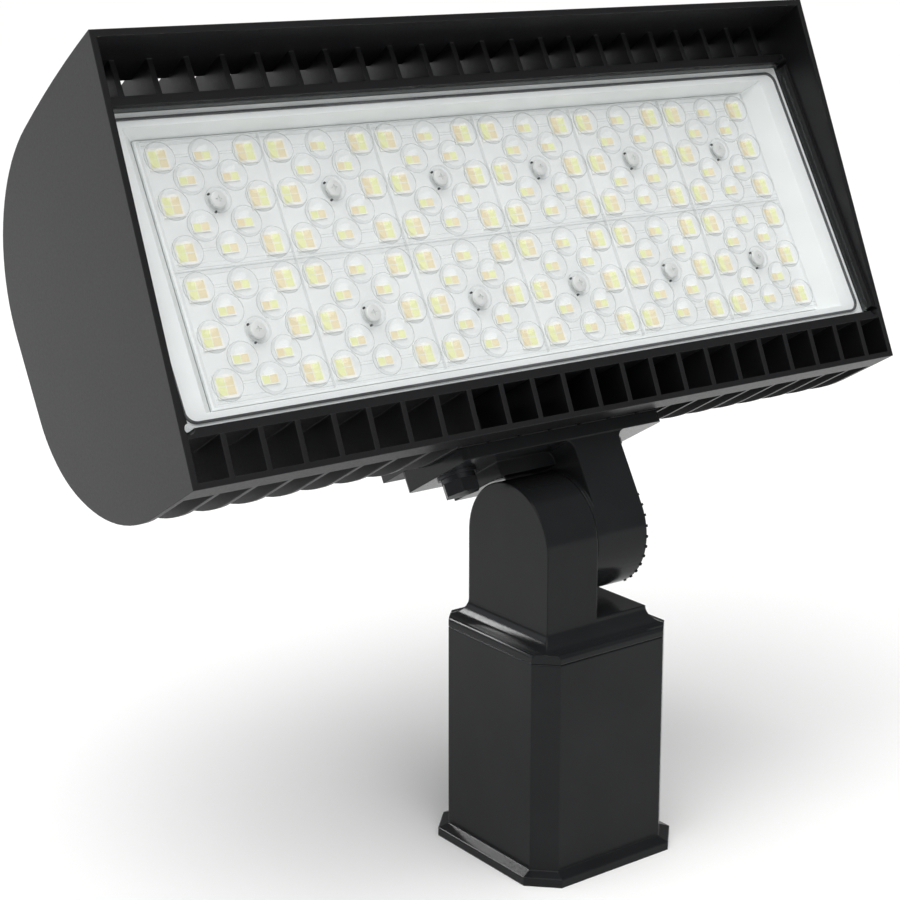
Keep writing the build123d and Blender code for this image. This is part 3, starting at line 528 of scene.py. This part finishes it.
tray_foot_u, tray_foot_v, hair = 152.3, 51.8, 0.03
board_back, board_front, board_edge = -2.3, -0.7, 0.1
halves = [slab((-tray_foot_u, low, board_back), (tray_foot_u, up, board_front), board_edge)
          for low, up in ((-tray_foot_v, -hair), (hair, tray_foot_v))]
boards = merged("circuit_boards", halves)
boards.materials.append(board_white)
boards.transform(on_head)
keep("circuit_boards", boards, "head", ["led_boards"])
print("2 boards,", len(boards.polygons), "faces")

# %% [markdown]
# ## Chips
# Four chips share each lens of a module's two outer columns, and two share each of the others. In
# most lenses the warm chips face the middle of the module; in the middle column the upper and the
# lower lens are turned opposite ways. Each kind is a few small slabs with soft edges, run through
# the lens field with only its own column and row switched on.

# %% Chips in two colours
chip_gap, chip_back, chip_front, chip_edge = 0.12, -0.2, 0.05, 0.05


def chips_on_one_side(side, wide, high, rows):
    low, up = (chip_gap, wide) if side > 0 else (-wide, -chip_gap)
    pieces = []
    for k in range(rows):
        foot = (k - rows / 2) * high
        pieces.append(slab((low, foot + chip_gap, chip_back),
                           (up, foot + high - chip_gap, chip_front), chip_edge))
    return merged("chips", pieces)


# column, row or None for all, chip width, chip height, chips on each side, side of the warm ones
chip_groups = [(-2, None, 3.5, 3.5, 2, 1), (2, None, 3.5, 3.5, 2, -1),
               (-1, None, 3.2, 3.3, 1, 1), (1, None, 3.2, 3.3, 1, -1),
               (0, -2, 3.2, 3.3, 1, 1), (0, 2, 3.2, 3.3, 1, -1)]
one_line = 0.5 * lens_pitch * mm
for name, material, turn in (("chips_warm", warm_phosphor, 1), ("chips_cool", cool_phosphor, -1)):
    groups = []
    for column, row, wide, high, rows, warm_side in chip_groups:
        choice = {"Middle Column": column * lens_pitch * mm, "Column Reach": one_line,
                  "Material": material}
        if row is not None:
            choice.update({"Middle Row": row * lens_pitch * mm, "Row Reach": one_line})
        chips = chips_on_one_side(turn * warm_side, wide, high, rows)
        groups.append(run_tree(field_tree, chips, {**every_lens, **choice}))
    mesh = merged(name, groups)
    mesh.transform(on_head)
    keep(name, mesh, "head")
    print(name, len(mesh.polygons), "faces")

# %% [markdown]
# ## Lens plates
# Each module is covered by one moulded plate of clear polycarbonate: a flat skirt with a dome
# over every group of chips. Separate domes laid on a plate would add hidden walls for the light
# to cross, so plate and domes are drawn as one skin: the lowest ring of each dome is an edge of
# the plate's top, and a fill closes the area between the rings. The dome is part of a ball, so
# its outline is worked out from its width and height. It is nearly half a ball, which is why the
# real ones look round from any side.

# %% Rings and bands
def loop_of(shape, corners, height):
    return [shape.verts.new((x * mm, y * mm, height * mm)) for x, y in corners]


def band(shape, one, two, finish_number=0):
    n = len(one)
    for k in range(n):
        face = shape.faces.new([one[k], one[(k + 1) % n], two[(k + 1) % n], two[k]])
        face.material_index = finish_number


def circle(x, y, r, sides):
    turns = [2 * math.pi * k / sides for k in range(sides)]
    return [(x + r * math.cos(a), y + r * math.sin(a)) for a in turns]


def chequer():
    steps = range(-2, 3)
    return [(c * lens_pitch, r * lens_pitch) for r in steps for c in steps
            if (c + r) % 2 == 0 and (c or r)]


print(len(chequer()), "lenses on a plate")

# %% A dome
plate_top, dome_top, dome_radius, dome_sides = 1.2, 5.8, 6.2, 20
rise = dome_top - plate_top
ball = (dome_radius ** 2 + rise ** 2) / (2 * rise)
widest = math.asin(dome_radius / ball)
skin_finishes = [lens_clear, dome_foot_painted_shade, plate_edge_painted_shade]


def dome(shape, x, y):
    # returns the edges of its lowest ring, where the plate's top begins
    apex = shape.verts.new((x * mm, y * mm, dome_top * mm))
    rings = []
    for share in (0.28, 0.56, 0.8, 1.0):
        a = widest * share
        ring = circle(x, y, ball * math.sin(a), dome_sides)
        rings.append(loop_of(shape, ring, dome_top - ball + ball * math.cos(a)))
    neighbours = [(k, (k + 1) % dome_sides) for k in range(dome_sides)]
    for k, after in neighbours:
        shape.faces.new([apex, rings[0][k], rings[0][after]])
    for one, two in zip(rings, rings[1:]):
        band(shape, one, two, skin_finishes.index(dome_foot_painted_shade) if two is rings[-1] else 0)
    return [shape.edges.get((rings[-1][k], rings[-1][after])) for k, after in neighbours]


print("a dome is part of a ball of radius", round(ball, 2), "mm")

# %% One skin of plate and domes
plate_u, plate_v, plate_foot = 25.2, 25.45, -0.65
shape = bmesh.new()
edges = []
for x, y in chequer():
    edges += dome(shape, x, y)
outline = [(-plate_u, -plate_v), (plate_u, -plate_v), (plate_u, plate_v), (-plate_u, plate_v)]
rim = loop_of(shape, outline, plate_top)
edges += [shape.edges.new((rim[k], rim[(k + 1) % 4])) for k in range(4)]
bmesh.ops.triangle_fill(shape, edges=edges, use_beauty=True)
foot = loop_of(shape, outline, plate_foot)
band(shape, rim, foot, skin_finishes.index(plate_edge_painted_shade))
shape.faces.new(foot)
bmesh.ops.recalc_face_normals(shape, faces=shape.faces)
skin = bpy.data.meshes.new("lens_skin")
shape.to_mesh(skin)
shape.free()
smooth(skin, 25)
open_edges = len(skin.edges) * 2 - sum(len(f.vertices) for f in skin.polygons)
print(len(skin.polygons), "faces, edges without a neighbour:", open_edges)

# %% [markdown]
# ## Collars and ribs
# What the eye reads as a lens is mostly the fine grey ring at its foot, so each dome gets a
# collar, and the screw well a taller one. The plate's stiffening ribs run along its edges and
# between the outermost domes, and stop where a dome stands in their way. The grey films on
# collars, wells and ribs are painted shade, where the curved plastic throws the light aside.

# %% Collars, wells and ribs
def ring_on_plate(name, inner, outer, inner_rise, outer_rise, sides):
    sunk = plate_top - 0.05
    mesh = turned(name, [(inner, plate_top + inner_rise), (outer, plate_top + outer_rise),
                         (outer, sunk), (inner, sunk)], sides)
    smooth(mesh)
    return mesh


def rib(low, up, v):
    half_wide, sunk, rib_rise = 0.13, 0.1, 0.2
    return slab((low, v - half_wide, plate_top - sunk), (up, v + half_wide, plate_top + rib_rise))


collar = ring_on_plate("collar", 6.15, 6.4, 0.15, 0.1, dome_sides)
well = ring_on_plate("well", 4.95, 5.3, 0.9, 0.9, 28)
# how far from the plate's middle line, and from where to where along it
rib_runs = {24.95: [(-24.6, 24.6)],
            23.2: [(-24.6, -22.8), (-14.1, -4.2), (4.2, 14.1), (22.8, 24.6)],
            17.9: [(-11.9, -6.5), (6.5, 11.9)],
            18.9: [(-11.9, -6.5), (6.5, 11.9)]}
ribs = [rib(low, up, side * v) for side in (-1, 1) for v, runs in rib_runs.items()
        for low, up in runs]
print(len(ribs), "ribs on a plate")

# %% [markdown]
# ## Copying the plates
# A tree paints all that it copies with one material, so the skin is copied in three runs, one for
# each of its finishes. Their shared corners fall on the same points, and welding joins them
# again.

# %% Twelve plates in one piece
def only(mesh, finish_number):
    share = mesh.copy()
    shape = bmesh.new()
    shape.from_mesh(share)
    others = [face for face in shape.faces if face.material_index != finish_number]
    bmesh.ops.delete(shape, geom=others, context="FACES")
    shape.to_mesh(share)
    shape.free()
    return share


def weld(mesh):
    shape = bmesh.new()
    shape.from_mesh(mesh)
    bmesh.ops.remove_doubles(shape, verts=shape.verts, dist=0.0001 * mm)
    shape.to_mesh(mesh)
    shape.free()


layers = [run_tree(grid_tree, only(skin, number), {**module_grid, "Material": material})
          for number, material in enumerate(skin_finishes)]
# collars, wells and ribs carry the grey films of painted shade
layers.append(run_tree(field_tree, collar, {**every_lens, "Material": dome_foot_painted_shade}))
layers.append(run_tree(grid_tree, merged("ribs", ribs + [well]),
                       {**module_grid, "Material": plate_edge_painted_shade}))
plates = merged("lens_plates_with_domes", layers)
weld(plates)
plates.transform(on_head)
keep("lens_plates_with_domes", plates, "head", ["lens_plates"])
print("144 domes, 12 plates:", len(plates.polygons), "faces")

# %% [markdown]
# ## Screws of the lens field
# One washer-head screw holds each module down. Its low round head has a cross drive, pressed in
# as four lobes. Two small dark studs are drawn beside it. The plain grid tree puts one set on
# every module.

# %% Module screws and pins
screw_profile = [(0, 1.95), (0.75, 1.95, 0.5), (1.0, 2.4, 0.45), (2.5, 2.36), (3.1, 2.2),
                 (3.4, 1.8), (3.4, plate_top), (1.5, plate_top), (1.5, -6), (0, -6.5)]
module_screw = turned("module_screw", screw_profile, 24)
smooth(module_screw)
module_screws = run_tree(grid_tree, module_screw, {**module_grid, "Material": pale_screw_painted_reflection})
module_screws.transform(on_head)
keep("module_screw_heads", module_screws, "head", ["module_screws"])

pin_profile = [(0, plate_top + 0.5), (0.45, plate_top + 0.4), (0.45, plate_top - 0.4),
               (0, plate_top - 0.4)]
pin_places = [(-3.1, 2.6), (-2.2, -4.5)]
pair = []
for u, v in pin_places:
    pin = turned("pin", pin_profile, 10)
    pin.transform(Matrix.Translation((u * mm, v * mm, 0)))
    pair.append(pin)
pins = run_tree(grid_tree, merged("pins", pair), {**module_grid, "Material": black_plastic})
pins.transform(on_head)
keep("dark_studs", pins, "head")
print("12 screws and 24 pins:", len(module_screws.polygons) + len(pins.polygons), "faces")

# %% [markdown]
# ## Screws of the rear door
# Eight pan-head screws press the door on its seal. They face backwards, so the same small tree is
# turned half round before it goes on the head.

# %% Door screws
door_screw_profile = [(0, 1.0), (0.9, 1.0, 0.5), (1.3, 2.3, 0.4), (2.4, 2.2), (3.3, 1.75),
                      (3.8, 1.0), (3.9, 0.4), (3.9, 0), (2.0, 0), (2.0, -7), (0, -7.5)]
door_screw = turned("door_screw", door_screw_profile, 28)
smooth(door_screw)
door_screws_apart, door_rows_apart, door_middle, door_behind = 64.667, 70, -2, -78
door_grid = {"Columns": 4, "Rows": 2, "Width": 3 * door_screws_apart * mm,
             "Height": door_rows_apart * mm, "Material": stainless}
door_face = (Matrix.Translation((0, door_middle * mm, door_behind * mm))
             @ Matrix.Rotation(math.pi, 4, "Y"))
door_screws = run_tree(grid_tree, door_screw, door_grid)
door_screws.transform(on_head @ door_face)
keep("door_screw_heads", door_screws, "head", ["door_screws"])
print("8 door screws:", len(door_screws.polygons), "faces")

# %% [markdown]
# ## Set screws with a real thread
# Two hexagon-head screws clamp the knuckle on its post. Their threads show between the boss and
# the head, so they are drawn. A thread is a ridge that climbs by one pitch in each turn, so a
# ring's radius only has to depend on its height less its share of a turn. The head is a six-sided
# lathe part whose upper corners are cut by a smaller top ring.

# %% A thread
def threaded(radius, low, high, pitch, sides=24, depth=0.6):
    shape = bmesh.new()
    steps = round((high - low) / pitch * 4)
    rings = []
    for j in range(steps + 1):
        z = low + (high - low) * j / steps
        # the tip starts at four fifths of the radius and is full after six rings
        taper = min(1, 0.8 + 0.2 * j / 6)
        radii = [radius * taper - depth * abs(2 * (((z - low) / pitch - k / sides) % 1.0) - 1)
                 for k in range(sides)]
        turns = [2 * math.pi * k / sides for k in range(sides)]
        corners = [(r * math.cos(a), r * math.sin(a)) for r, a in zip(radii, turns)]
        rings.append(loop_of(shape, corners, z))
    for one, two in zip(rings, rings[1:]):
        band(shape, one, two)
    shape.faces.new(list(reversed(rings[0])))
    shape.faces.new(rings[-1])
    bmesh.ops.recalc_face_normals(shape, faces=shape.faces)
    mesh = bpy.data.meshes.new("shank")
    shape.to_mesh(mesh)
    shape.free()
    smooth(mesh, 50)
    return mesh


shank_radius, shank_tip, head_foot, thread_pitch = 4.98, 31.3, 47.9, 1.5
print("thread of", round((head_foot - shank_tip) / thread_pitch, 1), "turns")

# %% Two set screws
across_flats = 17
corner = across_flats / math.sqrt(3)
hexagon_profile = [(0, 54.1), (corner * 0.84, 54.1), (corner * 0.97, 53.2), (corner, 52.8),
                   (corner, 48.2), (corner * 0.96, 47.7), (0, 47.7)]
hexagon_head = turned("hexagon_head", hexagon_profile, 6, math.pi / 6)
for name, node, body, height in (("set_screw_low", "set_screw_1", "clamp_low", 30),
                                 ("set_screw_high", "set_screw_2", "clamp_high", 64)):
    shank = threaded(shank_radius, shank_tip, head_foot, thread_pitch)
    mesh = merged(name, [hexagon_head, shank])
    mesh.transform(Matrix.Translation((0, 0, height * mm)) @ Matrix.Rotation(-math.pi / 2, 4, "X"))
    mesh.materials.append(black_steel)
    keep(name, mesh, body, [node])
    solid_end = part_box(node)[1].y
    drawn_end = max(v.co.y for v in mesh.vertices)
    print(name, "solid ends at", round(solid_end, 4), "drawn to", round(drawn_end, 4))

# %% [markdown]
# ## Floor
# The lamp stands on a plain pale floor. It is a wide disc, so that its far edge is lost on the
# horizon, with a very faint unevenness like painted board.

# %% Pale floor
floor_paint, tree, shader = new_material("floor_paint", "#fafaf9", 0.6)
cloud = grain(tree, 400, 2)
tree.links.new(two_tones(tree, cloud, "#f8f8f7", "#fcfcfb"), shader.inputs["Base Color"])
floor_mesh = bpy.data.meshes.new("floor")
shape = bmesh.new()
floor_radius = 30
bmesh.ops.create_circle(shape, cap_ends=True, segments=64, radius=floor_radius)
bmesh.ops.translate(shape, vec=(0, 0, cad_low.z), verts=shape.verts)
shape.to_mesh(floor_mesh)
shape.free()
floor_mesh.materials.append(floor_paint)
floor = bpy.data.objects.new("floor", floor_mesh)
bpy.context.scene.collection.objects.link(floor)
floor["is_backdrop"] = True
print("floor at", round(cad_low.z, 4), "with a radius of", floor_radius, "m")

# %% [markdown]
# ## Light
# A studio lights a black object by what it mirrors. A wide soft light from above whitens the
# floor evenly, far out as well as near. A large, faintly blue panel behind and to the left is
# what the side of the head mirrors towards the camera, which makes it lighter than the front. A
# narrow bright strip hangs above it, along the arc that the hollow shoulder of the base mirrors,
# and draws a white line there. Matt surfaces don't see the strip, so it leaves the floor even. A
# weak panel in front fills the lit face. The surround is dim as a light, so that black stays
# black, but pale where the camera sees it beyond the floor.

# %% Lamps that point at the floodlight
lamp_middle = Vector((0, 0, 0.2))


def aimed(name, light, place, roll=0):
    lamp = bpy.data.objects.new(name, light)
    lamp.location = place
    aim = lamp_middle - Vector(place)
    turn = aim.to_track_quat("-Z", "Y") @ Quaternion((0, 0, 1), math.radians(roll))
    lamp.rotation_euler = turn.to_euler()
    lamp.visible_camera = False
    bpy.context.scene.collection.objects.link(lamp)
    return lamp


def panel(name, place, size, watts, roll=0, tint=(1, 1, 1)):
    light = bpy.data.lights.new(name, "AREA")
    light.shape = "RECTANGLE"
    light.size, light.size_y = size
    light.energy = watts
    light.color = tint
    return aimed(name, light, place, roll)


overhead = bpy.data.lights.new("overhead", "SUN")
overhead.energy = 3.1
overhead.angle = math.radians(70)
aimed("overhead", overhead, (-0.4, -0.3, 1.9))
panel("side_panel", (-1.5, 1.5, 0.85), (1.8, 1.0), 8.5, tint=(0.93, 0.95, 1.0))
panel("front_panel", (-0.3, -2.0, 0.9), (1.6, 1.0), 7)
edge_strip = panel("edge_strip", (-0.58, 1.47, 1.33), (0.8, 0.3), 22, -31)
edge_strip.visible_diffuse = False
print(len(bpy.data.lights), "lights")

# %% Surround
world = bpy.data.worlds.new("surround")
bpy.context.scene.world = world
world.use_nodes = True
sky = world.node_tree
background = sky.nodes["Background"]
background.inputs["Color"].default_value = (1, 1, 1, 1)
as_light, seen_directly = 0.24, 0.92
from_camera = add(sky, "ShaderNodeLightPath").outputs["Is Camera Ray"]
strength = add(sky, "ShaderNodeMath", {0: from_camera, 1: seen_directly - as_light, 2: as_light},
               operation="MULTIPLY_ADD")
sky.links.new(strength.outputs[0], background.inputs["Strength"])
print("surround", as_light, "as a light and", seen_directly, "in the picture")

# %% [markdown]
# ## Camera
# The photograph looks slightly down at the lamp's left front corner. The camera's place and lens
# were worked out from the grid of lenses and the edges of the glass, in pixels of a picture 900
# wide, and a small shift of the lens keeps the upright edges nearly upright. White should come
# out white, so the view uses the plain screen transform. A ray that leaves the tray for the
# camera crosses the films of domes, collars and glass one after another. With the usual limit of
# eight crossings the joints between the plates and the rims of the screw wells turn black.

# %% Camera
picture, focal_length, lens_shift = 900, 2066.0, -80
lens = bpy.data.cameras.new("camera")
lens.sensor_width = 36
lens.lens = lens.sensor_width * focal_length / picture
lens.shift_y = lens_shift / picture
lens.clip_start = 0.01
camera = bpy.data.objects.new("camera", lens)
camera.location = Vector((-508.2, -603.8, 377.9)) * mm
looking = Vector((0.5862, 0.7786, -0.2242))
camera.rotation_euler = looking.to_track_quat("-Z", "Y").to_euler()
bpy.context.scene.collection.objects.link(camera)
bpy.context.scene.camera = camera
bpy.context.scene.view_settings.view_transform = "Standard"
bpy.context.scene.cycles.transparent_max_bounces = 32
print("lens", round(lens.lens, 1), "mm")

# %% Sizes
low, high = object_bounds()
sizes = {"cad": [list(cad_low), list(cad_high)], "visual": [list(low), list(high)]}
for key, corners in sizes.items():
    print(key, [[round(c, 4) for c in point] for point in corners])
